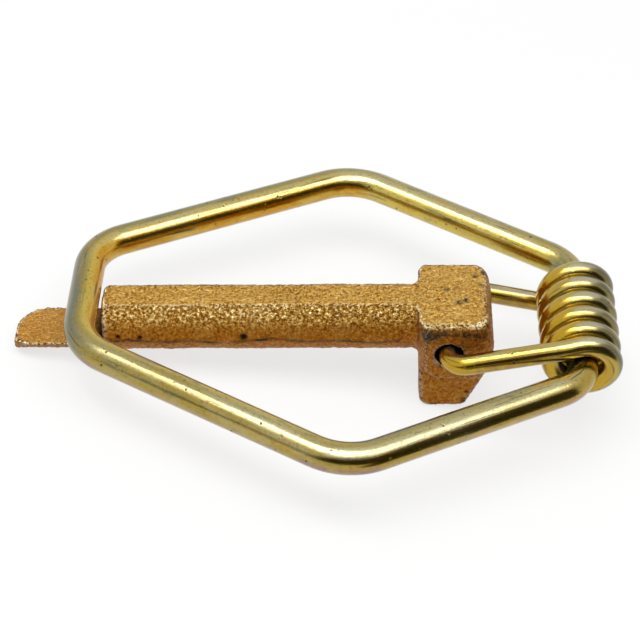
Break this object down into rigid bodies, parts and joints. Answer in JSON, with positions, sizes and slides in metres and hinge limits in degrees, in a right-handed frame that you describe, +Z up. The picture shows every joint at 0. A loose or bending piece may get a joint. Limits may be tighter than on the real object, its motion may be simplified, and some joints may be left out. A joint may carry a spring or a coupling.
{
  "type": "lynch pin",
  "caption": "Forged lynch pin: a flat-topped round stem with a stepped tongue, and a bent wire locking ring carried by a hooked coil spring on its head.",
  "frame": {"origin": "on the ground under the middle of the pin's outline, with the pin lying at rest on its lug's foot and its tongue's tip", "axes": "+X along the pin from the tongue to the coil spring, +Y across the ring, +Z up"},
  "size_m": [0.0754, 0.0556, 0.0168],
  "materials": {
    "forging": "rough forged steel, yellow zinc plated",
    "spring_wire": "bright drawn wire, yellow zinc plated",
    "ring_wire": "satin drawn wire, yellow zinc plated"
  },
  "bodies": {
    "pin": {"pin_body": "forging"},
    "spring": {"coil_spring": "spring_wire"},
    "ring": {"locking_ring": "ring_wire"}
  },
  "joints": [
    {"name": "spring_pivot", "type": "hinge", "parent": "pin", "child": "spring", "pos_m": [0.01655, 0, 0.00982], "axis": [0, 1, 0], "range_deg": [0, 145]},
    {"name": "ring_swing", "type": "hinge", "parent": "spring", "child": "ring", "pos_m": [0.0327, 0, 0.01205], "axis": [0, 1, 0], "range_deg": [-2.8, 180]}
  ]
}
